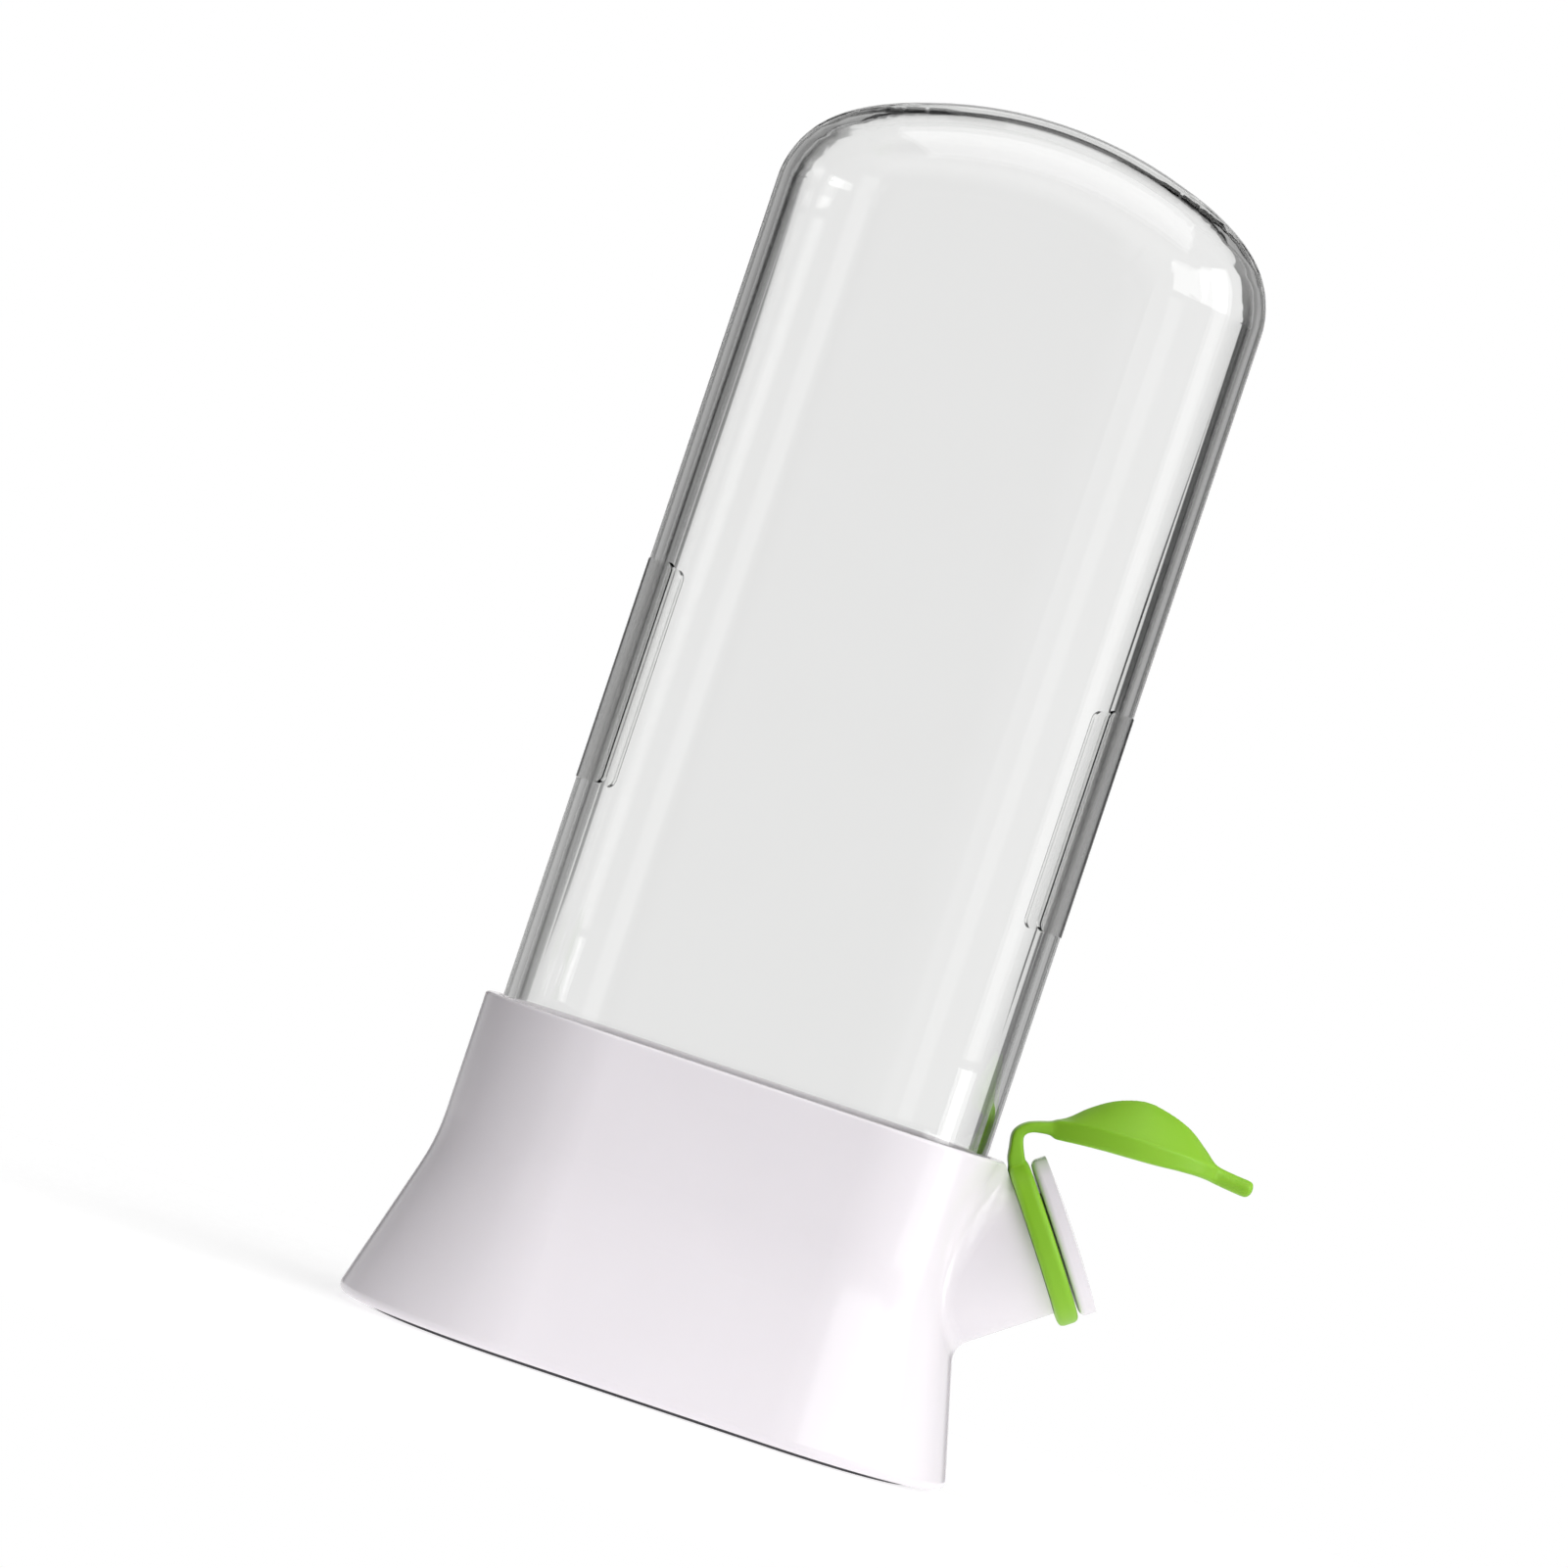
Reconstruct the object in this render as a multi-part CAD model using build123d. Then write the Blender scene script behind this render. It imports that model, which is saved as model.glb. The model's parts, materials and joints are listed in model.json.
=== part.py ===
"""Herb keeper pod: a clear domed cover on a flared water base with a slanted filler spout.

The spout is closed by a plugged cap, and a silicone ring under the cap carries a leaf-shaped pull tab.
Millimetres. +Z is up and +X points towards the spout. The origin is the middle of the foot's lower face.
Every level section of the cover and base is a stadium: two half-round ends joined by flats along X.
"""
import math
import os

from build123d import *

# Plan shared by cover and base
END_CENTRE_X = 21.65          # axis of each half-round end

# Base shell
RIM_Z = 53.9
RIM_END_RADIUS = 22.25
WALL = 2.0
SHELL_BOTTOM_Z = 0.7          # the white edge stands just clear of the table
FLARE_ANGLE = 15.6            # degrees from upright
BEND_TOP_Z = 33.5             # the wall is upright above this
BEND_RADIUS = 35.0
RIM_ROUND = 0.6
BOTTOM_ROUND = 1.4

# Shelf inside the rim that the cover stands on
LEDGE_TOP_Z = 47.3
LEDGE_THICKNESS = 1.6
LEDGE_WIDTH = 3.4

# Bottom plate and foot pad
PLATE_GAP = 0.1
PLATE_BOTTOM_Z = 0.9
PLATE_THICKNESS = 2.4
RIB_HEIGHT = 3.0
RIB_THICKNESS = 1.4
FOOT_END_RADIUS = 24.0
FOOT_RECESS = 0.7

# Filler spout: its own frame has the origin at the mouth's centre and +Z out of the spout
SPOUT_ANGLE = 36.5            # degrees above level
MOUTH_X = 52.4
MOUTH_Z = 42.5
SPOUT_RADIUS = 11.35
BORE_RADIUS = 9.4
SPOUT_REACH = 22.0            # tube length inwards, before it is trimmed to the shell
BORE_REACH = 20.0
SPOUT_BLEND = 3.5
BUILD_SPARE = 20.0            # extra length that is trimmed off once the blend is made
RIM_TRIM = 200.0
MOUTH_TRIM = 60.0

# Cover
COVER_END_RADIUS = 19.45
COVER_WALL = 1.8
COVER_TOP_Z = 215.0
COVER_BOTTOM_Z = 47.6
CROWN_RADIUS = 69.5           # arch across the top
CROWN_SPAN = 60.0             # half width of the arch before it is trimmed
SHOULDER_RADIUS = 15.8        # round between the arch and the walls
SKIRT_ROUND = 0.5

# Grip panels on the cover's two narrow ends
GRIP_LOW_Z = 91.0
GRIP_HIGH_Z = 128.0
GRIP_HALF_WIDTH = 12.3
GRIP_SEAT = 0.5               # how deep the panel is set into the wall
GRIP_PROUD = 0.15
GRIP_CORNER = 1.5
GRIP_FIT = 0.05

# Seal round the cover's skirt
SEAL_LOW_Z = 49.3
SEAL_HIGH_Z = 52.3
SEAL_SEAT = 0.8
SEAL_BODY = 0.3               # how far it stands out of the skirt between its two lips
SEAL_LIP = 0.5                # half height of a lip
SEAL_RUNNING_FIT = 0.05
SEAL_FIT = 0.03

# Silicone ring and its sleeve, along the spout's axis from the mouth
RING_RADIUS = 13.75
RING_LOW = 0.1
RING_HIGH = 3.6
RING_ROUND = 1.1
SLEEVE_RADIUS = 9.1
SLEEVE_DEPTH = 6.0
SLEEVE_RIB_RADIUS = 9.35
SLEEVE_RIBS = (-1.8, -4.2)
SLEEVE_RIB_HALF_HEIGHT = 0.5

# Cap and its hollow plug, on the same axis
CAP_LOW = 3.9
CAP_RADIUS = 13.2
CAP_EDGE = 2.65
CAP_CROWN = 0.55
CAP_ROUND = 1.1
PLUG_RADIUS = 7.6
PLUG_WALL = 1.5
PLUG_DEPTH = 7.2
BEAD_RADIUS = 8.0
BEAD_HEIGHT = 1.0

# Strap and leaf, in the row frame. The strap flexes about an axis along Y through the pivot.
PIVOT_X = 45.1
PIVOT_Z = 59.9
STRAP_WIDTH = 8.0
STRAP_THICKNESS = 1.86
HINGE_GAP = 0.3
LEAF_START_X = 50.0
LEAF_END_X = 76.0
LEAF_HALF_WIDTH = 8.5
LEAF_END_HALF_WIDTH = 2.0
LEAF_MIDDLE_X = 62.6
LEAF_EDGE_Z = 64.6            # top of the leaf's upright edge
LEAF_RIDGE_Z = 70.5
STALK_RADIUS = 1.4
STALK_START = (73.5, 62.75)
STALK_TIP = (81.9, 62.1)      # centre of the round tip

STRAP_OUTER = ((45.6, 52.6), (44.35, 54.6), (43.7, 58.2), (44.2, 60.4))
STRAP_INNER = ((46.0, 60.4), (45.55, 58.4), (46.3, 56.6), (48.0, 54.6))
TAB_NECK = 0.6                # where the tab's strap leaves its knuckle, from the pivot
TAB_TOP = ((47.0, 61.95), (51.0, 63.0))
TAB_LOW = ((51.0, 60.7), (47.6, 60.2))
LEAF_LOW = ((50.0, 60.0), (62.6, 61.0), (76.0, 61.3))
LEAF_START_TOP_Z = 63.1
LEAF_END_TOP_Z = 64.2

PARTS_FOLDER = "parts"
TOLERANCE = 0.01


def upright_face(corners):
    """A half section given by its corners as (radius, height), in the XZ plane."""
    return Plane.XZ * make_face(Polyline(*corners, close=True))


def flared_face(inset, low_z, high_z):
    """Half section of the base, inset from its outer surface, in the XZ plane with X as the radius."""
    slope = math.radians(FLARE_ANGLE)
    centre_r = RIM_END_RADIUS + BEND_RADIUS
    bend = BEND_RADIUS + inset
    upright_r = centre_r - bend
    bend_low = (centre_r - bend * math.cos(slope), BEND_TOP_Z - bend * math.sin(slope))
    bend_mid = (centre_r - bend * math.cos(slope / 2), BEND_TOP_Z - bend * math.sin(slope / 2))
    low_r = bend_low[0] + (bend_low[1] - low_z) * math.tan(slope)
    if high_z <= bend_low[1]:
        high_r = bend_low[0] + (bend_low[1] - high_z) * math.tan(slope)
        return upright_face([(0, low_z), (low_r, low_z), (high_r, high_z), (0, high_z)])
    outline = Polyline((0, low_z), (low_r, low_z), bend_low)
    outline += ThreePointArc(bend_low, bend_mid, (upright_r, BEND_TOP_Z))
    outline += Polyline((upright_r, BEND_TOP_Z), (upright_r, high_z), (0, high_z), (0, low_z))
    return Plane.XZ * make_face(outline)


def stadium_solid(face):
    """Turn a half section round both ends and carry it along the flats between them."""
    front = Rot(Z=-90) * face
    back = Rot(Z=90) * face
    right_axis = Axis((END_CENTRE_X, 0, 0), (0, 0, 1))
    left_axis = Axis((-END_CENTRE_X, 0, 0), (0, 0, 1))
    right_end = revolve(Pos(END_CENTRE_X, 0, 0) * front, right_axis, 180)
    left_end = revolve(Pos(-END_CENTRE_X, 0, 0) * back, left_axis, 180)
    front_half = extrude(Pos(-END_CENTRE_X, 0, 0) * front, 2 * END_CENTRE_X, dir=(1, 0, 0))
    back_half = extrude(Pos(-END_CENTRE_X, 0, 0) * back, 2 * END_CENTRE_X, dir=(1, 0, 0))
    return right_end + left_end + front_half + back_half


def stadium_block(radius, low_z, high_z):
    """An upright stadium prism."""
    return stadium_solid(upright_face([(0, low_z), (radius, low_z), (radius, high_z), (0, high_z)]))


def spout_plane():
    """Frame of the spout: origin at the mouth's centre, +Z outwards, +X up the mouth's face."""
    tilt = math.radians(SPOUT_ANGLE)
    outward = (math.cos(tilt), 0, math.sin(tilt))
    upward = (-math.sin(tilt), 0, math.cos(tilt))
    return Plane(origin=(MOUTH_X, 0, MOUTH_Z), x_dir=upward, z_dir=outward)


def spout_round(radius, low, high):
    """A cylinder on the spout's axis, from low to high along it."""
    return spout_plane() * Pos(0, 0, (low + high) / 2) * Cylinder(radius, high - low)


def spout_turned(corners):
    """A solid turned round the spout's axis from a half section of (radius, distance along it)."""
    profile = Plane.XZ * make_face(Polyline(*corners, close=True))
    return spout_plane() * revolve(profile, Axis.Z)


def side_prism(outline, half_width):
    """Extrude a closed outline in the XZ plane by half_width to each side."""
    return extrude(Plane.XZ * make_face(outline), half_width, both=True)


def blended_outer_body():
    """The base's outer form: flared body and spout with a rounded join, trimmed at rim and mouth."""
    body = stadium_solid(flared_face(0, SHELL_BOTTOM_Z, RIM_Z + BUILD_SPARE))
    body = body + spout_round(SPOUT_RADIUS, -SPOUT_REACH, BUILD_SPARE)
    joins = [
        edge
        for face in body.faces().filter_by(GeomType.CYLINDER)
        if abs(face.radius - SPOUT_RADIUS) < TOLERANCE
        for edge in face.edges()
        if edge.geom_type not in (GeomType.CIRCLE, GeomType.LINE)
    ]
    body = fillet(joins, SPOUT_BLEND)
    above_rim = Pos(0, 0, RIM_Z + BUILD_SPARE) * Box(RIM_TRIM, RIM_TRIM, 2 * BUILD_SPARE)
    past_mouth = spout_plane() * Pos(0, 0, BUILD_SPARE) * Box(MOUTH_TRIM, MOUTH_TRIM, 2 * BUILD_SPARE)
    return body - above_rim - past_mouth


def make_base_shell():
    """Flared shell with the spout, open at the rim and at the bottom."""
    cavity = stadium_solid(flared_face(WALL, SHELL_BOTTOM_Z, RIM_Z))
    shell = blended_outer_body() - cavity
    inner_radius = RIM_END_RADIUS - WALL
    ledge_low = LEDGE_TOP_Z - LEDGE_THICKNESS
    ledge = stadium_block(inner_radius + WALL / 2, ledge_low, LEDGE_TOP_Z)
    ledge -= stadium_block(inner_radius - LEDGE_WIDTH, ledge_low, LEDGE_TOP_Z)
    shell = shell + ledge
    shell -= spout_round(BORE_RADIUS, -BORE_REACH, RING_HIGH)
    rim_edges = [edge for edge in shell.edges() if edge.bounding_box().min.Z > RIM_Z - TOLERANCE]
    shell = fillet(rim_edges, RIM_ROUND)
    foot_edges = [edge for edge in shell.edges() if edge.bounding_box().max.Z < SHELL_BOTTOM_Z + TOLERANCE]
    outer_depth = max(edge.bounding_box().max.Y for edge in foot_edges)
    outer_edges = [
        edge
        for edge in foot_edges
        if max(edge.bounding_box().max.Y, -edge.bounding_box().min.Y) > outer_depth - WALL / 2
    ]
    return fillet(outer_edges, BOTTOM_ROUND)


def make_base_plate():
    """Welded bottom: a plate with a raised locating rib, and a recess below for the foot pad."""
    top_z = PLATE_BOTTOM_Z + PLATE_THICKNESS
    inset = WALL + PLATE_GAP
    plate = stadium_solid(flared_face(inset, PLATE_BOTTOM_Z, top_z + RIB_HEIGHT))
    plate -= stadium_solid(flared_face(inset + RIB_THICKNESS, top_z, top_z + RIB_HEIGHT))
    return plate - stadium_block(FOOT_END_RADIUS, PLATE_BOTTOM_Z, PLATE_BOTTOM_Z + FOOT_RECESS)


def make_foot_pad():
    """Non-slip pad in the plate's recess. Its lower face is what the pod stands on."""
    return stadium_block(FOOT_END_RADIUS - PLATE_GAP, 0, PLATE_BOTTOM_Z + FOOT_RECESS)


def dome_solid(inset, low_z):
    """The cover's form, inset from its outer surface: stadium walls, arched top, rounded shoulders."""
    walls = stadium_block(COVER_END_RADIUS - inset, low_z, COVER_TOP_Z)
    crown_centre_z = COVER_TOP_Z - CROWN_RADIUS
    crown = CROWN_RADIUS - inset
    side_z = crown_centre_z + math.sqrt(crown ** 2 - CROWN_SPAN ** 2)
    arch = Polyline((CROWN_SPAN, side_z), (CROWN_SPAN, low_z), (-CROWN_SPAN, low_z), (-CROWN_SPAN, side_z))
    arch += ThreePointArc((-CROWN_SPAN, side_z), (0, crown_centre_z + crown), (CROWN_SPAN, side_z))
    dome = walls & side_prism(arch, 2 * COVER_END_RADIUS)
    shoulder_edges = [edge for edge in dome.edges() if edge.bounding_box().min.Z > crown_centre_z]
    return fillet(shoulder_edges, SHOULDER_RADIUS - inset)


def grip_band(side, outer_radius, inner_radius, margin):
    """A rounded rectangular patch wrapped round one narrow end of the cover; side is +1 or -1."""
    height = GRIP_HIGH_Z - GRIP_LOW_Z + 2 * margin
    width = 2 * (GRIP_HALF_WIDTH + margin)
    middle_z = (GRIP_LOW_Z + GRIP_HIGH_Z) / 2
    low_z = GRIP_LOW_Z - GRIP_CORNER
    high_z = GRIP_HIGH_Z + GRIP_CORNER
    band = stadium_block(outer_radius, low_z, high_z) - stadium_block(inner_radius, low_z, high_z)
    window = extrude(Plane.YZ * RectangleRounded(width, height, GRIP_CORNER), 2 * side * END_CENTRE_X)
    return band & (Pos(side * END_CENTRE_X, 0, middle_z) * window)


def make_clear_cover():
    """Thin-walled clear dome, open below, with seats for the grip panels and the seal."""
    cover = dome_solid(0, COVER_BOTTOM_Z) - dome_solid(COVER_WALL, COVER_BOTTOM_Z)
    skirt_edges = cover.edges().filter_by(lambda edge: edge.bounding_box().max.Z < COVER_BOTTOM_Z + TOLERANCE)
    cover = fillet(skirt_edges, SKIRT_ROUND)
    for side in (1, -1):
        seat_radius = COVER_END_RADIUS - GRIP_SEAT
        cover -= grip_band(side, COVER_END_RADIUS + GRIP_PROUD, seat_radius, GRIP_FIT)
    groove = stadium_block(COVER_END_RADIUS + SEAL_SEAT, SEAL_LOW_Z, SEAL_HIGH_Z)
    groove -= stadium_block(COVER_END_RADIUS - SEAL_SEAT, SEAL_LOW_Z, SEAL_HIGH_Z)
    return cover - groove


def make_grip(side):
    """Frosted panel that sits in the cover's end wall and stands a little proud."""
    outer_radius = COVER_END_RADIUS + GRIP_PROUD
    inner_radius = COVER_END_RADIUS - GRIP_SEAT + GRIP_FIT
    return grip_band(side, outer_radius, inner_radius, 0)


def make_cover_seal():
    """Two-lipped silicone seal in the skirt's groove."""
    inner = COVER_END_RADIUS - SEAL_SEAT + SEAL_FIT
    body = COVER_END_RADIUS + SEAL_BODY
    lip = RIM_END_RADIUS - WALL - SEAL_RUNNING_FIT
    low = SEAL_LOW_Z + SEAL_FIT
    high = SEAL_HIGH_Z - SEAL_FIT
    corners = [
        (inner, low),
        (body, low),
        (lip, low + SEAL_LIP),
        (body, low + 2 * SEAL_LIP),
        (body, high - 2 * SEAL_LIP),
        (lip, high - SEAL_LIP),
        (body, high),
        (inner, high),
    ]
    return stadium_solid(upright_face(corners))


def make_filler_cap():
    """Gently domed disc with a hollow plug behind it, ending in a bead that keeps the ring on."""
    edge_top = CAP_LOW + CAP_EDGE
    crown_top = edge_top + CAP_CROWN
    rise_radius = (CAP_RADIUS ** 2 + CAP_CROWN ** 2) / (2 * CAP_CROWN)
    disc = spout_round(CAP_RADIUS, CAP_LOW, crown_top)
    crown_ball = spout_plane() * Pos(0, 0, crown_top - rise_radius) * Sphere(rise_radius)
    disc = disc & crown_ball
    disc = fillet(disc.edges().filter_by(GeomType.CIRCLE), CAP_ROUND)
    bead_low = -PLUG_DEPTH
    plug = spout_turned([
        (PLUG_RADIUS - PLUG_WALL, bead_low),
        (PLUG_RADIUS, bead_low),
        (BEAD_RADIUS, bead_low + BEAD_HEIGHT / 2),
        (BEAD_RADIUS, bead_low + BEAD_HEIGHT),
        (PLUG_RADIUS, bead_low + BEAD_HEIGHT),
        (PLUG_RADIUS, CAP_LOW + CAP_EDGE / 2),
        (PLUG_RADIUS - PLUG_WALL, CAP_LOW + CAP_EDGE / 2),
    ])
    return disc + plug


def strap_root():
    """Strap from the ring's upper edge to just short of the pivot."""
    outline = Spline(*STRAP_OUTER) + Line(STRAP_OUTER[-1], STRAP_INNER[0])
    outline += Spline(*STRAP_INNER) + Line(STRAP_INNER[-1], STRAP_OUTER[0])
    root = side_prism(outline, STRAP_WIDTH / 2)
    clear_radius = STRAP_THICKNESS / 2 + HINGE_GAP
    pivot_room = Pos(PIVOT_X, 0, PIVOT_Z) * Rot(X=90) * Cylinder(clear_radius, 2 * STRAP_WIDTH)
    above_pivot = Box(STRAP_WIDTH, 2 * STRAP_WIDTH, 2 * clear_radius)
    return root - pivot_room - Pos(PIVOT_X, 0, PIVOT_Z + clear_radius) * above_pivot


def make_seal_ring():
    """Silicone ring under the cap, with a ribbed sleeve down the bore and the strap's root."""
    ring = spout_round(RING_RADIUS, RING_LOW, RING_HIGH)
    ring = fillet(ring.edges().filter_by(GeomType.CIRCLE), RING_ROUND)
    sleeve_corners = [(PLUG_RADIUS, RING_HIGH), (PLUG_RADIUS, -SLEEVE_DEPTH), (SLEEVE_RADIUS, -SLEEVE_DEPTH)]
    for rib in reversed(SLEEVE_RIBS):
        sleeve_corners += [
            (SLEEVE_RADIUS, rib - SLEEVE_RIB_HALF_HEIGHT),
            (SLEEVE_RIB_RADIUS, rib),
            (SLEEVE_RADIUS, rib + SLEEVE_RIB_HALF_HEIGHT),
        ]
    sleeve_corners += [(SLEEVE_RADIUS, RING_HIGH)]
    ring = ring + strap_root()
    ring -= spout_round(PLUG_RADIUS, RING_LOW, RING_HIGH)
    return ring + spout_turned(sleeve_corners)


def leaf_blade():
    """Leaf pad: pointed oval in plan, upright edge, and a roof that rises to a curved ridge."""
    end_top = (LEAF_END_X, LEAF_END_TOP_Z)
    start_top = (LEAF_START_X, LEAF_START_TOP_Z)
    side = Spline(*LEAF_LOW) + Line(LEAF_LOW[-1], end_top)
    side += ThreePointArc(end_top, (LEAF_MIDDLE_X, LEAF_RIDGE_Z), start_top)
    side += Line(start_top, LEAF_LOW[0])
    profile = side_prism(side, LEAF_HALF_WIDTH)
    tip = LEAF_END_HALF_WIDTH
    plan = ThreePointArc((LEAF_START_X, tip), (LEAF_MIDDLE_X, LEAF_HALF_WIDTH), (LEAF_END_X, tip))
    plan += Line((LEAF_END_X, tip), (LEAF_END_X, -tip))
    plan += ThreePointArc((LEAF_END_X, -tip), (LEAF_MIDDLE_X, -LEAF_HALF_WIDTH), (LEAF_START_X, -tip))
    plan += Line((LEAF_START_X, -tip), (LEAF_START_X, tip))
    leaf = profile & (Pos(0, 0, LEAF_EDGE_Z) * extrude(make_face(plan), 2 * LEAF_HALF_WIDTH, both=True))
    wide = 2 * LEAF_HALF_WIDTH
    drop = (LEAF_RIDGE_Z - LEAF_EDGE_Z) / LEAF_HALF_WIDTH * wide
    eave_z = LEAF_RIDGE_Z - drop
    roof = Polyline((0, LEAF_RIDGE_Z), (wide, eave_z), (wide, 0), (-wide, 0), (-wide, eave_z), close=True)
    gable = extrude(Plane.YZ * make_face(roof), 2 * LEAF_END_X)
    return leaf & gable


def make_leaf_tab():
    """Pull tab: knuckle at the pivot, strap, leaf pad and round-ended stalk."""
    knuckle = Pos(PIVOT_X, 0, PIVOT_Z) * Rot(X=90) * Cylinder(STRAP_THICKNESS / 2, STRAP_WIDTH)
    neck_top = (PIVOT_X - TAB_NECK, PIVOT_Z + TAB_NECK)
    neck_low = (PIVOT_X + TAB_NECK, PIVOT_Z - TAB_NECK)
    outline = Spline(neck_top, *TAB_TOP) + Line(TAB_TOP[-1], TAB_LOW[0])
    outline += Spline(*TAB_LOW, neck_low) + Line(neck_low, neck_top)
    strap = side_prism(outline, STRAP_WIDTH / 2)
    run = math.dist(STALK_START, STALK_TIP)
    lean = math.degrees(math.atan2(STALK_TIP[0] - STALK_START[0], STALK_TIP[1] - STALK_START[1]))
    middle = ((STALK_START[0] + STALK_TIP[0]) / 2, 0, (STALK_START[1] + STALK_TIP[1]) / 2)
    stalk = Pos(*middle) * Rot(Y=lean) * Cylinder(STALK_RADIUS, run)
    stalk += Pos(STALK_TIP[0], 0, STALK_TIP[1]) * Sphere(STALK_RADIUS)
    return knuckle + strap + leaf_blade() + stalk


def save(name, shape):
    shape.label = name
    export_step(shape, os.path.join(PARTS_FOLDER, name + ".step"))


def main():
    os.makedirs(PARTS_FOLDER, exist_ok=True)
    save("clear_cover", make_clear_cover())
    save("left_grip", make_grip(-1))
    save("right_grip", make_grip(1))
    save("cover_seal", make_cover_seal())
    save("base_shell", make_base_shell())
    save("base_plate", make_base_plate())
    save("foot_pad", make_foot_pad())
    save("filler_cap", make_filler_cap())
    save("seal_ring", make_seal_ring())
    save("leaf_tab", make_leaf_tab())


main()
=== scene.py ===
"""Looks of the herb keeper pod: materials, the silicone ring with its leaf tab, studio and camera.

Metres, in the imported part's frame: +Z up, +X towards the spout, origin in the middle of the foot's
underside.
"""

import json
import math

import bpy
import numpy as np
from mathutils import Matrix, Vector

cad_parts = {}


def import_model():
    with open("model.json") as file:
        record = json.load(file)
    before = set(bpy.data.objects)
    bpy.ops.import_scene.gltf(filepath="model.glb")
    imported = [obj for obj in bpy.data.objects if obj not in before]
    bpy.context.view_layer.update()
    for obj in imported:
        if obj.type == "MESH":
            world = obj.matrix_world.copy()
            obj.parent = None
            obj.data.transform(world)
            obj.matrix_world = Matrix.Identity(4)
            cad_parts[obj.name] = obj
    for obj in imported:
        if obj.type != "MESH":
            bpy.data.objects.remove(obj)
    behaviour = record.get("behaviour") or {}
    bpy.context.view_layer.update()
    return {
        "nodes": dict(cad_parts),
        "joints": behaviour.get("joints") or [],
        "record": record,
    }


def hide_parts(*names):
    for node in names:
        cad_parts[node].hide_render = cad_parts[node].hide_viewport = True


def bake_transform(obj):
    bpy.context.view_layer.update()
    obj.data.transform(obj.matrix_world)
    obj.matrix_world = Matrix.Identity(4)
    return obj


MM = 0.001

# Camera
EYE = Vector((-0.009, -1.262, 0.083))
AIM = Vector((-0.009, 0.0, 0.1004))
LEAN = math.radians(18.5)     # the pod leans this far to the right in the frame
LENS = 180.0

# Surface of the moulded materials
CLOUDS_PER_METRE = 55.0
GLOSS_PATCHES_PER_METRE = 140.0
GRAIN_STRENGTH = 0.25
NOISE_LOW = 0.3               # noise mostly lies between these two values
NOISE_HIGH = 0.7
CLEAR_TINT = (0.95, 0.953, 0.945)
CLEAR_DENSITY = 180.0         # per metre of clear wall
LAMP_LIGHT_KEPT = 0.94        # share of a lamp's light that each clear surface lets through

# Silicone ring: half section of (radius, distance along the spout's axis from its mouth), in mm
MOUTH_FROM_HINGE = Vector((0.0073, 0.0, -0.0174))   # centre of the spout's mouth, in metres
RING_STEPS = 144
RING_SECTION = (
    (7.6, -6.0), (9.1, -6.0), (9.1, -4.7), (9.35, -4.2), (9.1, -3.7), (9.1, -2.3), (9.35, -1.8), (9.1, -1.3),
    (9.1, 0.1), (12.9, 0.1), (13.5, 0.35), (13.75, 0.9), (13.75, 2.8), (13.5, 3.35), (12.9, 3.6), (7.6, 3.6),
)

# Tab, from its root in the ring to the stalk's tip. Each row is a section: lower point x, z and upper point
# x, z from the hinge in mm, half width and roof height in mm, and squareness (2 is round).
TAB_SECTIONS = (
    (3.4, -6.4, 0.6, -8.0, 4.0, 0.0, 7.0),
    (2.1, -4.9, -0.8, -5.4, 4.0, 0.0, 7.0),
    (1.2, -3.3, -1.2, -3.4, 4.0, 0.0, 7.0),
    (0.5, -1.5, -1.5, -1.3, 4.0, 0.0, 7.0),
    (0.6, -0.6, -1.0, 0.1, 4.0, 0.0, 7.0),
    (1.4, 0.0, 0.3, 1.3, 4.0, 0.0, 7.0),
    (2.5, 0.3, 1.9, 2.0, 4.0, 0.0, 7.0),
    (4.3, 0.5, 4.0, 2.7, 4.0, 0.0, 7.0),
    (5.2, 0.2, 4.9, 3.2, 4.3, 0.1, 12.0),
    (6.6, 0.3, 6.5, 3.6, 5.2, 0.7, 12.0),
    (9.4, 0.6, 9.3, 4.2, 6.7, 2.6, 12.0),
    (13.2, 0.9, 13.1, 4.6, 8.0, 4.6, 12.0),
    (17.5, 1.1, 17.5, 4.8, 8.5, 5.7, 12.0),
    (21.6, 1.3, 21.7, 4.8, 8.1, 5.1, 12.0),
    (25.3, 1.6, 25.5, 4.7, 6.9, 3.8, 12.0),
    (28.6, 1.7, 28.8, 4.5, 4.9, 1.8, 7.0),
    (30.6, 1.6, 30.9, 4.4, 2.9, 0.3, 5.0),
    (32.0, 1.4, 32.2, 4.2, 1.7, 0.0, 3.0),
    (34.5, 1.1, 34.7, 3.9, 1.45, 0.0, 2.0),
    (36.9, 0.9, 37.1, 3.7, 1.4, 0.0, 2.0),
    (37.6, 1.1, 37.8, 3.5, 1.2, 0.0, 2.0),
    (38.0, 1.6, 38.1, 2.9, 0.7, 0.0, 2.0),
    (38.15, 2.1, 38.15, 2.4, 0.15, 0.0, 2.0),
)
ROOF_SHARE = 0.93             # the roof starts this far out; the rest is a narrow flat edge
ROOF_CURVE = 1.25             # 1 is a sharp ridge, more is rounder
TAB_STEPS = 6                 # sections between two rows
TAB_POINTS = 72               # points round a section
SILICONE_VOXEL = 0.00024
SILICONE_SMOOTHING = 3

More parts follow.
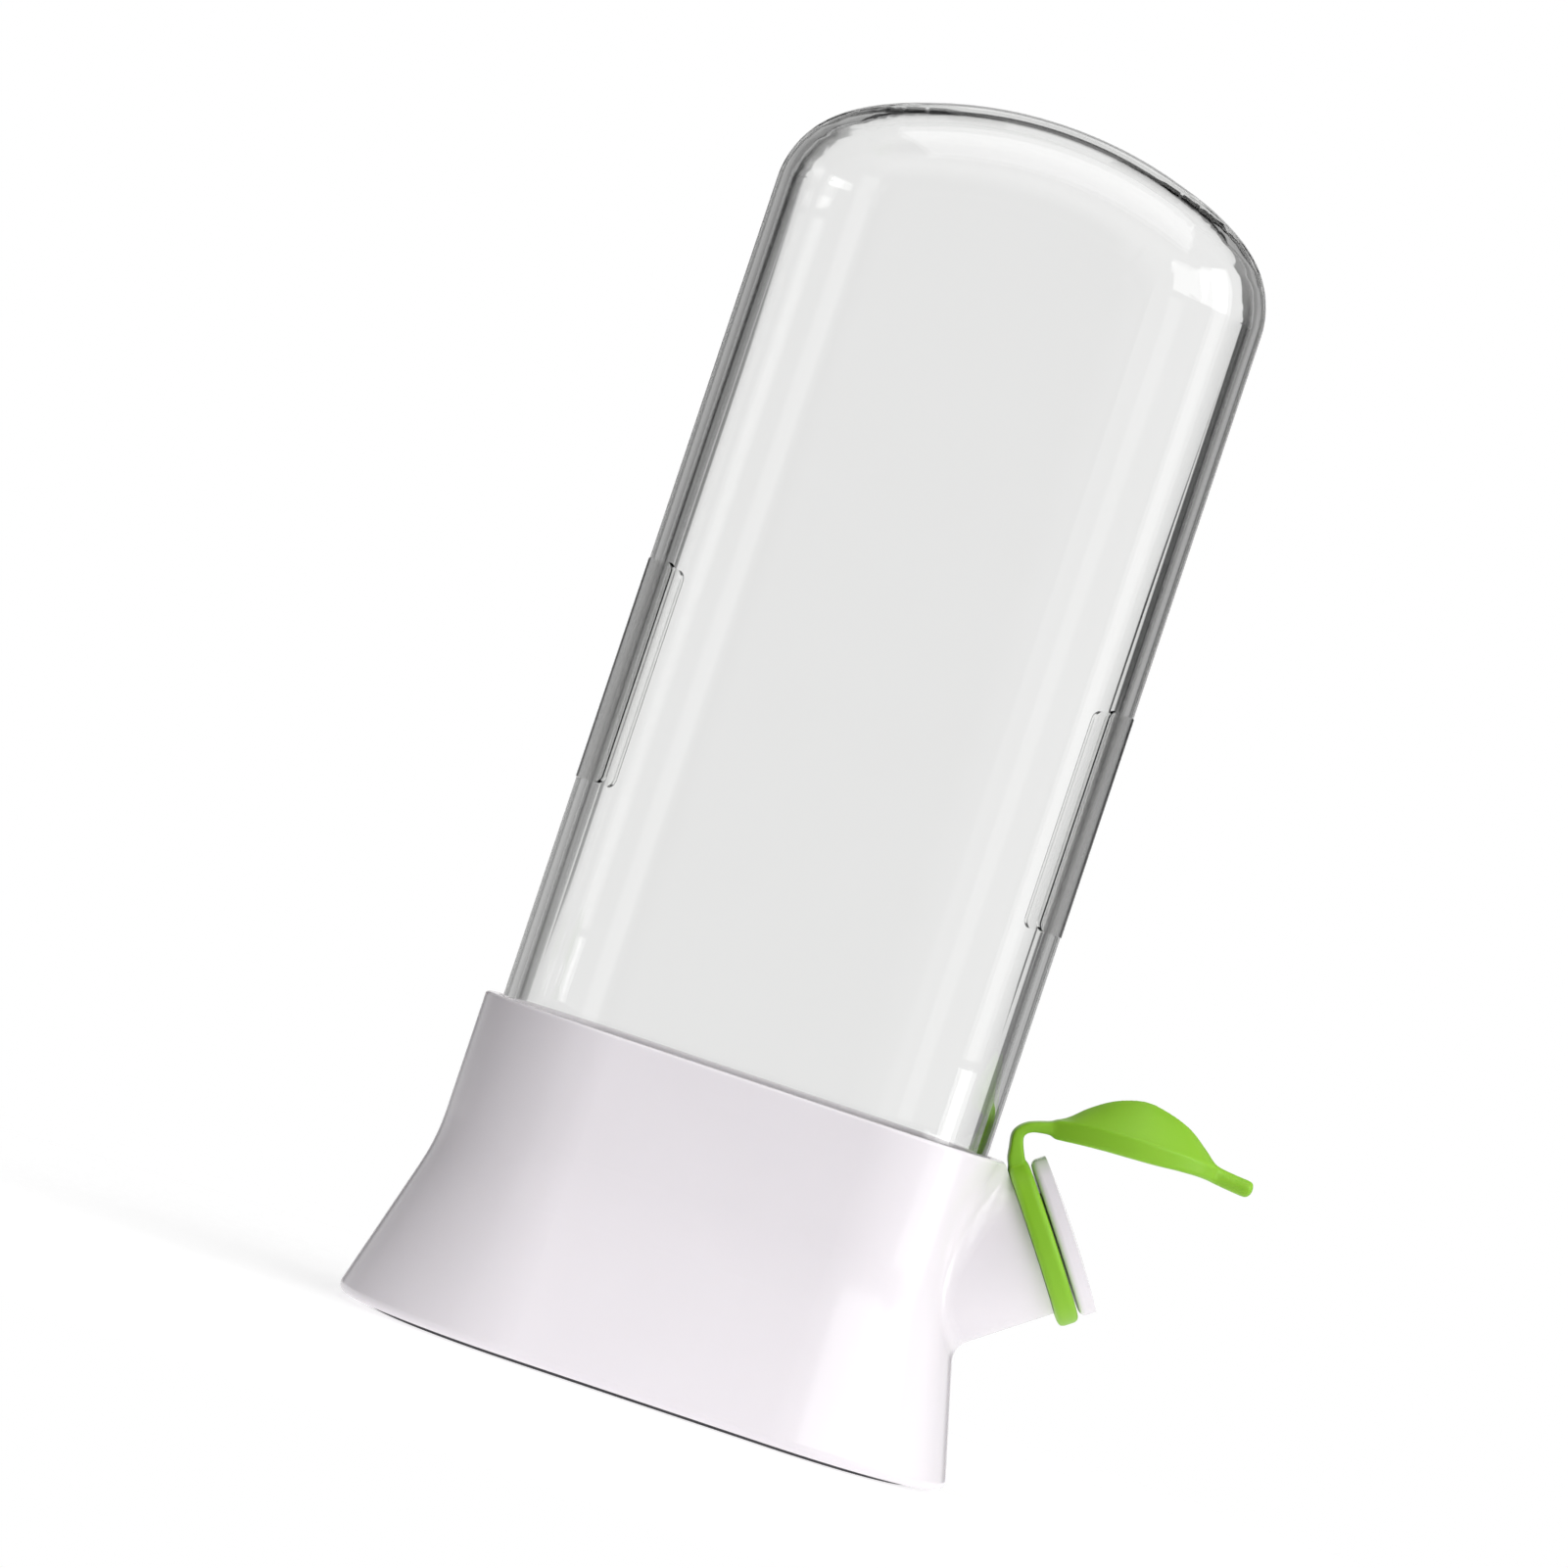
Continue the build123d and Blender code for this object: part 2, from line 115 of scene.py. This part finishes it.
# Studio, as directions from the pod: x runs from left (-1) to right (1), y from the camera's side (-1) to
# behind (1), and z from below (-1) to above (1)
BACKDROP_LIGHT = 1.1          # brightness behind the clear cover
CARD_SHADE = 0.06             # how much darker it is straight behind
THROUGH_LIGHT = 0.9           # least brightness in front that shows through a clear wall
ROOM_LIGHT = ((-1.0, 0.04), (-0.6, 0.12), (-0.3, 0.4), (0.0, 0.88), (1.0, 0.9))   # brightness in front, by x
FLANK_SHADES = (              # darkness behind, by x: it gives the clear walls their edge lines
    (-0.72, 0.7), (-0.63, 0.6), (-0.48, 0.35), (-0.42, 0.6), (-0.38, 1.0), (-0.28, 1.0), (-0.265, 0.85),
    (-0.242, 0.75), (-0.2, 0.6), (-0.184, 0.0), (0.238, 0.0), (0.25, 1.0), (0.455, 1.0), (0.49, 0.5),
    (0.62, 0.4), (0.72, 0.7),
)
OVERHEAD_SHADES = ((0.6, 0.0), (0.64, 0.95), (0.8, 0.95), (0.85, 0.0))   # darkness behind, by z
SIDE_SHADES = ((0.1, 0.0), (0.25, 0.9), (0.7, 0.9), (0.76, 0.0))   # darkness at both sides, by y
SIDE_HEIGHT = ((0.35, 1.0), (0.55, 0.0))   # share of it that is left, by z with SIDE_TILT of x added
SIDE_TILT = 0.33
HORIZON = ((-0.12, 0.0), (-0.02, 0.8), (0.04, 1.0))   # share of all the darkness that is left, by z
CARD_ACROSS = ((0.02, 1.0), (0.03, 0.0))   # extent of the darker card straight behind, by x and by z
CARD_UP = ((0.11, 1.0), (0.13, 0.0))
BACK_HALF = ((0.3, 0.0), (0.6, 1.0))       # where the backdrop takes over from the room, by y
BEHIND = ((0.3, 0.0), (0.5, 1.0))          # where the dark zones behind begin, by y

# Lights: azimuth from the camera's side and elevation in degrees, distance, width and height in metres,
# radiance, and whether matt surfaces, glossy and clear ones, or all of them see it
LIGHT_TARGET = Vector((0, 0, 0.1))
LIGHTS = (
    ("gloss_low", 67, -8.5, 0.95, 0.45, 0.15, 2.2, "gloss"),
    ("gloss_high", 67, 28, 0.95, 0.45, 0.5, 2.0, "gloss"),
    ("strip_low", 77, -7, 0.95, 0.3, 0.14, 2.5, "all"),
    ("strip_middle", 77, 4, 0.95, 0.3, 0.22, 1.1, "all"),
    ("strip_high", 77, 27, 0.95, 0.3, 0.55, 2.5, "all"),
    ("key_right", 38, 25, 1.3, 0.8, 0.6, 1.8, "all"),
    ("top", 10, 75, 1.1, 0.8, 0.8, 1.2, "all"),
    ("top_matt", 10, 75, 1.1, 0.8, 0.8, 1.4, "matt"),
    ("fill_left", -32, 8, 1.2, 0.35, 0.6, 0.5, "all"),
)

# Floor: a disc just under the foot, opaque round the pod and faded out before its edge
FLOOR_RADIUS = 0.55
FLOOR_SIDES = 64
FLOOR_DROP = 0.00005
FLOOR_TONES = ((0.49, 0.49, 0.49), (0.52, 0.52, 0.52))
FLOOR_GRAIN_PER_METRE = 400.0
FLOOR_GLOW = 0.6
FLOOR_FADE_START = 0.08
FLOOR_FADE_END = 0.24


# ---------------------------------------------------------------- materials

def new_material(name):
    """A material with an empty tree and one Principled shader wired to its output."""
    material = bpy.data.materials.new(name)
    material.use_nodes = True
    tree = material.node_tree
    tree.nodes.clear()
    shader = tree.nodes.new("ShaderNodeBsdfPrincipled")
    output = tree.nodes.new("ShaderNodeOutputMaterial")
    tree.links.new(shader.outputs["BSDF"], output.inputs["Surface"])
    return material, tree, shader


def noise(tree, scale, detail=2.0):
    """Noise in the object's own coordinates; scale is in features per metre."""
    place = tree.nodes.new("ShaderNodeTexCoord")
    texture = tree.nodes.new("ShaderNodeTexNoise")
    texture.inputs["Scale"].default_value = scale
    texture.inputs["Detail"].default_value = detail
    tree.links.new(place.outputs["Object"], texture.inputs["Vector"])
    return texture.outputs["Fac"]


def spread(tree, value, low, high):
    """Map noise to the range low to high."""
    node = tree.nodes.new("ShaderNodeMapRange")
    node.inputs["From Min"].default_value = NOISE_LOW
    node.inputs["From Max"].default_value = NOISE_HIGH
    node.inputs["To Min"].default_value = low
    node.inputs["To Max"].default_value = high
    tree.links.new(value, node.inputs["Value"])
    return node.outputs["Result"]


def mottled(tree, value, low_colour, high_colour):
    """A colour between two, driven by noise."""
    ramp = tree.nodes.new("ShaderNodeValToRGB")
    ramp.color_ramp.elements[0].position = NOISE_LOW
    ramp.color_ramp.elements[1].position = NOISE_HIGH
    ramp.color_ramp.elements[0].color = (*low_colour, 1.0)
    ramp.color_ramp.elements[1].color = (*high_colour, 1.0)
    tree.links.new(value, ramp.inputs["Fac"])
    return ramp.outputs["Color"]


def bump(tree, shader, height, strength, distance):
    """Raise the surface a little by height; distance is in metres."""
    node = tree.nodes.new("ShaderNodeBump")
    node.inputs["Strength"].default_value = strength
    node.inputs["Distance"].default_value = distance
    tree.links.new(height, node.inputs["Height"])
    tree.links.new(node.outputs["Normal"], shader.inputs["Normal"])


def average(low, high):
    return tuple((a + b) / 2 for a, b in zip(low, high)) + (1.0,)


def moulded(name, colours, roughness, grain, grain_depth):
    """Shared base of the moulded materials: cloudy colour, uneven gloss and a fine surface grain.

    colours and roughness are each a low and a high end; grain is in features per metre, its depth in metres.
    """
    material, tree, shader = new_material(name)
    shader.inputs["Base Color"].default_value = average(*colours)
    shader.inputs["Roughness"].default_value = sum(roughness) / 2
    clouds = noise(tree, CLOUDS_PER_METRE, 3.0)
    tree.links.new(mottled(tree, clouds, *colours), shader.inputs["Base Color"])
    gloss = spread(tree, noise(tree, GLOSS_PATCHES_PER_METRE, 4.0), *roughness)
    tree.links.new(gloss, shader.inputs["Roughness"])
    bump(tree, shader, noise(tree, grain, 4.0), GRAIN_STRENGTH, grain_depth)
    return material, tree, shader


def absorb(tree, colour, density):
    """Tint by the path through the wall; density is per metre."""
    volume = tree.nodes.new("ShaderNodeVolumeAbsorption")
    volume.inputs["Color"].default_value = (*colour, 1.0)
    volume.inputs["Density"].default_value = density
    output = next(node for node in tree.nodes if node.type == "OUTPUT_MATERIAL")
    tree.links.new(volume.outputs["Volume"], output.inputs["Volume"])


def pass_lamp_light(tree, shader):
    """Let light reach what is behind a clear wall; the camera still sees the wall's own shader."""
    path = tree.nodes.new("ShaderNodeLightPath")
    clear = tree.nodes.new("ShaderNodeBsdfTransparent")
    clear.inputs["Color"].default_value = (LAMP_LIGHT_KEPT,) * 3 + (1.0,)
    mix = tree.nodes.new("ShaderNodeMixShader")
    either = maths(tree, "MAXIMUM", path.outputs["Is Shadow Ray"], path.outputs["Is Diffuse Ray"])
    tree.links.new(either, mix.inputs["Fac"])
    tree.links.new(shader.outputs["BSDF"], mix.inputs[1])
    tree.links.new(clear.outputs["BSDF"], mix.inputs[2])
    output = next(node for node in tree.nodes if node.type == "OUTPUT_MATERIAL")
    tree.links.new(mix.outputs["Shader"], output.inputs["Surface"])


def white_plastic():
    """Glossy white polypropylene, very slightly lilac."""
    material, _, shader = moulded(
        "white_plastic", colours=((0.868, 0.828, 0.868), (0.882, 0.842, 0.882)),
        roughness=(0.12, 0.16), grain=1800.0, grain_depth=0.00003,
    )
    shader.inputs["IOR"].default_value = 1.49
    shader.inputs["Subsurface Weight"].default_value = 0.08
    shader.inputs["Subsurface Radius"].default_value = (0.0012, 0.0011, 0.001)
    shader.inputs["Subsurface Scale"].default_value = 1.0
    return material


def clear_plastic():
    """Clear moulded wall: a faint grey in the thickness, and a slight unevenness of gloss."""
    material, tree, shader = moulded(
        "clear_plastic", colours=((0.996, 0.996, 0.995), (1.0, 1.0, 1.0)),
        roughness=(0.0, 0.02), grain=35.0, grain_depth=0.00003,
    )
    shader.inputs["Transmission Weight"].default_value = 1.0
    shader.inputs["IOR"].default_value = 1.49
    absorb(tree, CLEAR_TINT, CLEAR_DENSITY)
    pass_lamp_light(tree, shader)
    return material


def frosted_grip():
    """Clear panel with a fine satin surface."""
    material, tree, shader = moulded(
        "frosted_grip", colours=((0.985, 0.985, 0.98), (1.0, 1.0, 0.995)),
        roughness=(0.02, 0.06), grain=3000.0, grain_depth=0.00002,
    )
    shader.inputs["Transmission Weight"].default_value = 1.0
    shader.inputs["IOR"].default_value = 1.45
    pass_lamp_light(tree, shader)
    return material


def green_silicone():
    """Lime-green silicone: soft satin, slightly see-through at thin edges."""
    material, _, shader = moulded(
        "green_silicone", colours=((0.25, 0.535, 0.024), (0.28, 0.575, 0.03)),
        roughness=(0.36, 0.46), grain=2200.0, grain_depth=0.00006,
    )
    shader.inputs["IOR"].default_value = 1.42
    shader.inputs["Specular IOR Level"].default_value = 0.4
    shader.inputs["Subsurface Weight"].default_value = 0.2
    shader.inputs["Subsurface Radius"].default_value = (0.0006, 0.0012, 0.0003)
    shader.inputs["Subsurface Scale"].default_value = 1.0
    return material


def seal_silicone():
    """Milky silicone of the cover's hidden seal."""
    material, _, shader = moulded(
        "seal_silicone", colours=((0.72, 0.73, 0.74), (0.8, 0.81, 0.82)),
        roughness=(0.45, 0.6), grain=2200.0, grain_depth=0.00006,
    )
    shader.inputs["Transmission Weight"].default_value = 0.3
    shader.inputs["IOR"].default_value = 1.42
    return material


def foot_rubber():
    """Dark grey non-slip rubber with a coarse matt grain. Its dark grey is partly painted shade: it draws the
    thin dark line of shade along the base's bottom edge.
    """
    material, _, shader = moulded(
        # the dark grey here is partly painted shade for the line under the base's bottom edge
        "foot_rubber", colours=((0.05, 0.05, 0.055), (0.085, 0.085, 0.09)),
        roughness=(0.7, 0.85), grain=1200.0, grain_depth=0.0002,
    )
    shader.inputs["IOR"].default_value = 1.5
    return material


# ---------------------------------------------------------------- silicone ring and leaf tab

def skin(loops, ring):
    """Vertices and faces that join equal loops in turn; ring joins the last loop to the first."""
    count = len(loops[0])
    vertices = [point for loop in loops for point in loop]
    faces = []
    for row in range(len(loops) if ring else len(loops) - 1):
        this_row = row * count
        next_row = (row + 1) % len(loops) * count
        for step in range(count):
            after = (step + 1) % count
            faces.append((this_row + step, this_row + after, next_row + after, next_row + step))
    if not ring:
        last = (len(loops) - 1) * count
        faces.append(tuple(reversed(range(count))))
        faces.append(tuple(range(last, last + count)))
    return vertices, faces


def smooth_rows(rows, steps):
    """Rows of numbers with more between them, on a Catmull-Rom spline."""
    rows = np.array(rows, float)
    padded = np.vstack([2 * rows[0] - rows[1], rows, 2 * rows[-1] - rows[-2]])
    out = []
    for row in range(1, len(padded) - 2):
        before, start, end, after = padded[row - 1:row + 3]
        for step in range(steps):
            t = step / steps
            out.append(0.5 * (2 * start + (end - before) * t
                              + (2 * before - 5 * start + 4 * end - after) * t ** 2
                              + (3 * start - before - 3 * end + after) * t ** 3))
    out.append(rows[-1])
    return out


def tab_loops(hinge):
    """Closed loops of the strap, leaf pad and stalk."""
    loops = []
    for low_x, low_z, top_x, top_z, half_width, roof, squareness in smooth_rows(TAB_SECTIONS, TAB_STEPS):
        low = hinge + Vector((low_x, 0, low_z)) * MM
        rise = Vector((top_x - low_x, 0, top_z - low_z)) * MM
        loop = []
        for step in range(TAB_POINTS):
            angle = 2 * math.pi * step / TAB_POINTS
            across, up = math.cos(angle), math.sin(angle)
            reach = (abs(across) ** squareness + abs(up) ** squareness) ** (1 / squareness)
            across /= reach
            up /= reach
            slope = min(1.0, abs(across) / ROOF_SHARE)
            crest = roof * MM * (1 - slope ** ROOF_CURVE) * max(0.0, up)
            point = low + rise * (0.5 + 0.5 * up) + rise.normalized() * crest
            loop.append(point + Vector((0, across * half_width * MM, 0)))
        loops.append(loop)
    return loops


def ring_loops(mouth, outward):
    """Closed loops of the ring and its sleeve, turned round the spout's axis."""
    upward = Vector((-outward.z, 0, outward.x))
    sideways = outward.cross(upward)
    loops = []
    for step in range(RING_STEPS):
        angle = 2 * math.pi * step / RING_STEPS
        spoke = upward * math.cos(angle) + sideways * math.sin(angle)
        loops.append([
            mouth + outward * distance * MM + spoke * radius * MM
            for radius, distance in RING_SECTION
        ])
    return loops


def new_object(name, vertices, faces):
    mesh = bpy.data.meshes.new(name)
    mesh.from_pydata([tuple(v) for v in vertices], [], faces)
    mesh.validate()
    piece = bpy.data.objects.new(name, mesh)
    bpy.context.scene.collection.objects.link(piece)
    return piece


def apply_modifiers(piece):
    """Turn the piece's modifiers into its mesh."""
    graph = bpy.context.evaluated_depsgraph_get()
    final = bpy.data.meshes.new_from_object(piece.evaluated_get(graph))
    piece.modifiers.clear()
    piece.data = final


def make_silicone(joints, material):
    """Ring, sleeve, strap, leaf and stalk as one moulding, soft at its edges."""
    hinge = Vector(joints["leaf_flex"]["pos_m"])
    outward = Vector(joints["stopper_pull"]["axis"])
    mouth = hinge + MOUTH_FROM_HINGE
    vertices, faces = skin(ring_loops(mouth, outward), True)
    tab_vertices, tab_faces = skin(tab_loops(hinge), False)
    shift = len(vertices)
    faces += [tuple(index + shift for index in face) for face in tab_faces]
    piece = new_object("silicone_ring_and_leaf", vertices + tab_vertices, faces)
    remesh = piece.modifiers.new("fuse", "REMESH")
    remesh.mode = "VOXEL"
    remesh.voxel_size = SILICONE_VOXEL
    remesh.use_smooth_shade = True
    smooth = piece.modifiers.new("soften", "SMOOTH")
    smooth.factor = 0.5
    smooth.iterations = SILICONE_SMOOTHING
    apply_modifiers(piece)
    piece.data.materials.clear()
    piece.data.materials.append(material)
    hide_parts("seal_ring", "leaf_tab")
    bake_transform(piece)


# ---------------------------------------------------------------- studio and camera

def make_world():
    """White backdrop; other rays see white too, with darker zones that give clear walls their edge lines."""
    world = bpy.data.worlds.new("studio")
    bpy.context.scene.world = world
    world.use_nodes = True
    tree = world.node_tree
    tree.nodes.clear()
    output = tree.nodes.new("ShaderNodeOutputWorld")
    backdrop = tree.nodes.new("ShaderNodeBackground")
    room = tree.nodes.new("ShaderNodeBackground")
    pick = tree.nodes.new("ShaderNodeMixShader")
    path = tree.nodes.new("ShaderNodeLightPath")
    backdrop.inputs["Color"].default_value = (1, 1, 1, 1)
    tree.links.new(path.outputs["Is Camera Ray"], pick.inputs["Fac"])
    tree.links.new(room.outputs["Background"], pick.inputs[1])
    tree.links.new(backdrop.outputs["Background"], pick.inputs[2])
    tree.links.new(pick.outputs["Shader"], output.inputs["Surface"])

    place = tree.nodes.new("ShaderNodeTexCoord")
    parts = tree.nodes.new("ShaderNodeSeparateXYZ")
    tree.links.new(place.outputs["Generated"], parts.inputs["Vector"])
    x, y, z = parts.outputs["X"], parts.outputs["Y"], parts.outputs["Z"]
    room_light = ramp_node(tree, x, ROOM_LIGHT)
    card_across = ramp_node(tree, maths(tree, "ABSOLUTE", x), CARD_ACROSS)
    card_up = ramp_node(tree, z, CARD_UP)
    card = maths(tree, "MULTIPLY", card_across, card_up)
    backdrop_light = maths(tree, "MULTIPLY_ADD", card, -CARD_SHADE, BACKDROP_LIGHT)
    back_half = ramp_node(tree, y, BACK_HALF)
    seen_through = maths(tree, "MULTIPLY", path.outputs["Is Transmission Ray"], THROUGH_LIGHT)
    front_light = maths(tree, "MAXIMUM", room_light, seen_through)
    white = blend_values(tree, back_half, front_light, backdrop_light)

    behind = ramp_node(tree, y, BEHIND)
    spread_x = maths(tree, "MULTIPLY_ADD", x, maths(tree, "MAXIMUM", z, 0.0), x)
    flanks = maths(tree, "MULTIPLY", ramp_node(tree, spread_x, FLANK_SHADES), behind)
    overhead = maths(tree, "MULTIPLY", ramp_node(tree, z, OVERHEAD_SHADES), behind)
    sides = ramp_node(tree, y, SIDE_SHADES)
    height = maths(tree, "MULTIPLY_ADD", x, SIDE_TILT, z)
    sides = maths(tree, "MULTIPLY", sides, ramp_node(tree, height, SIDE_HEIGHT))
    dark = maths(tree, "MAXIMUM", maths(tree, "MAXIMUM", flanks, overhead), sides)
    above = ramp_node(tree, z, HORIZON)
    kept = maths(tree, "SUBTRACT", 1.0, maths(tree, "MULTIPLY", dark, above))
    tree.links.new(maths(tree, "MULTIPLY", white, kept), room.inputs["Strength"])


def blend_values(tree, share, first, second):
    """first where share is 0, second where it is 1."""
    node = tree.nodes.new("ShaderNodeMix")
    tree.links.new(share, node.inputs["Factor"])
    tree.links.new(first, node.inputs["A"])
    tree.links.new(second, node.inputs["B"])
    return node.outputs["Result"]


def maths(tree, operation, *values):
    """A maths node on sockets or plain numbers."""
    node = tree.nodes.new("ShaderNodeMath")
    node.operation = operation
    for socket, value in zip(node.inputs, values):
        if isinstance(value, (int, float)):
            socket.default_value = value
        else:
            tree.links.new(value, socket)
    return node.outputs["Value"]


def ramp_node(tree, value, stops):
    """A grey ramp through (value, brightness) stops, level beyond the first and the last."""
    low, high = stops[0][0], stops[-1][0]
    scale = tree.nodes.new("ShaderNodeMapRange")
    scale.inputs["From Min"].default_value = low
    scale.inputs["From Max"].default_value = high
    tree.links.new(value, scale.inputs["Value"])
    ramp = tree.nodes.new("ShaderNodeValToRGB")
    elements = ramp.color_ramp.elements
    elements[0].position, elements[1].position = 0.0, 1.0
    elements[0].color = (stops[0][1],) * 3 + (1.0,)
    elements[1].color = (stops[-1][1],) * 3 + (1.0,)
    for place, brightness in stops[1:-1]:
        elements.new((place - low) / (high - low)).color = (brightness,) * 3 + (1.0,)
    tree.links.new(scale.outputs["Result"], ramp.inputs["Fac"])
    return ramp.outputs["Color"]


def soft_box(name, azimuth, elevation, distance, width, height, radiance, seen_by):
    """A rectangular light aimed at the pod. Azimuth is positive to the right, and seen_by is as in LIGHTS."""
    light = bpy.data.lights.new(name, "AREA")
    light.shape = "RECTANGLE"
    light.size = width
    light.size_y = height
    light.energy = radiance * math.pi * width * height
    box = bpy.data.objects.new(name, light)
    turn, tilt = math.radians(azimuth), math.radians(elevation)
    level = Vector((math.sin(turn), -math.cos(turn), 0)) * math.cos(tilt)
    outward = level + Vector((0, 0, math.sin(tilt)))
    box.location = LIGHT_TARGET + outward * distance
    box.rotation_euler = outward.to_track_quat("Z", "Y").to_euler()
    box.visible_camera = False
    box.visible_diffuse = seen_by != "gloss"
    box.visible_glossy = seen_by != "matt"
    box.visible_transmission = seen_by != "matt"
    bpy.context.scene.collection.objects.link(box)


def make_lights():
    for light in LIGHTS:
        soft_box(*light)


def floor_material():
    """Matt pale paper that fades out before its edge, so the floor runs into the backdrop."""
    material, tree, shader = new_material("floor_paper")
    shader.inputs["Roughness"].default_value = 0.9
    shader.inputs["Emission Color"].default_value = (1.0, 1.0, 1.0, 1.0)
    shader.inputs["Emission Strength"].default_value = FLOOR_GLOW
    tone = mottled(tree, noise(tree, FLOOR_GRAIN_PER_METRE, 3.0), *FLOOR_TONES)
    tree.links.new(tone, shader.inputs["Base Color"])
    place = tree.nodes.new("ShaderNodeTexCoord")
    distance = tree.nodes.new("ShaderNodeVectorMath")
    distance.operation = "LENGTH"
    tree.links.new(place.outputs["Object"], distance.inputs[0])
    fade = tree.nodes.new("ShaderNodeMapRange")
    fade.inputs["From Min"].default_value = FLOOR_FADE_START
    fade.inputs["From Max"].default_value = FLOOR_FADE_END
    fade.inputs["To Min"].default_value = 1.0
    fade.inputs["To Max"].default_value = 0.0
    tree.links.new(distance.outputs["Value"], fade.inputs["Value"])
    tree.links.new(fade.outputs["Result"], shader.inputs["Alpha"])
    return material


def make_floor():
    centre = Vector((0, 0, 0))
    angles = np.linspace(0, 2 * math.pi, FLOOR_SIDES + 1)[:-1]
    rim = [Vector((math.cos(angle), math.sin(angle), 0)) * FLOOR_RADIUS for angle in angles]
    faces = [(0, side + 1, (side + 1) % FLOOR_SIDES + 1) for side in range(FLOOR_SIDES)]
    floor = new_object("floor", [centre] + rim, faces)
    floor.location.z = -FLOOR_DROP
    floor.data.materials.append(floor_material())


def make_camera():
    data = bpy.data.cameras.new("camera")
    data.lens = LENS
    data.sensor_width = 36.0
    camera = bpy.data.objects.new("camera", data)
    bpy.context.scene.collection.objects.link(camera)
    forward = (AIM - EYE).normalized()
    level = forward.cross(Vector((0, 0, 1))).normalized()
    upright = level.cross(forward)
    right = level * math.cos(LEAN) + upright * math.sin(LEAN)
    up = upright * math.cos(LEAN) - level * math.sin(LEAN)
    facing = Matrix((right, up, -forward)).transposed().to_4x4()
    camera.matrix_world = Matrix.Translation(EYE) @ facing
    bpy.context.scene.camera = camera


def main():
    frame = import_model()
    record = frame["record"]
    joints = {joint["name"]: joint for joint in frame["joints"]}
    materials = {
        "white_plastic": white_plastic(),
        "clear_plastic": clear_plastic(),
        "frosted_grip": frosted_grip(),
        "green_silicone": green_silicone(),
        "seal_silicone": seal_silicone(),
        "foot_rubber": foot_rubber(),
    }
    for part in record["subparts"]:
        node = frame["nodes"][part["node"]]
        node.data.materials.clear()
        node.data.materials.append(materials[part["material_slot"]])
    make_silicone(joints, materials["green_silicone"])
    make_world()
    make_lights()
    make_floor()
    make_camera()
    bpy.context.scene.view_settings.view_transform = "Standard"


main()
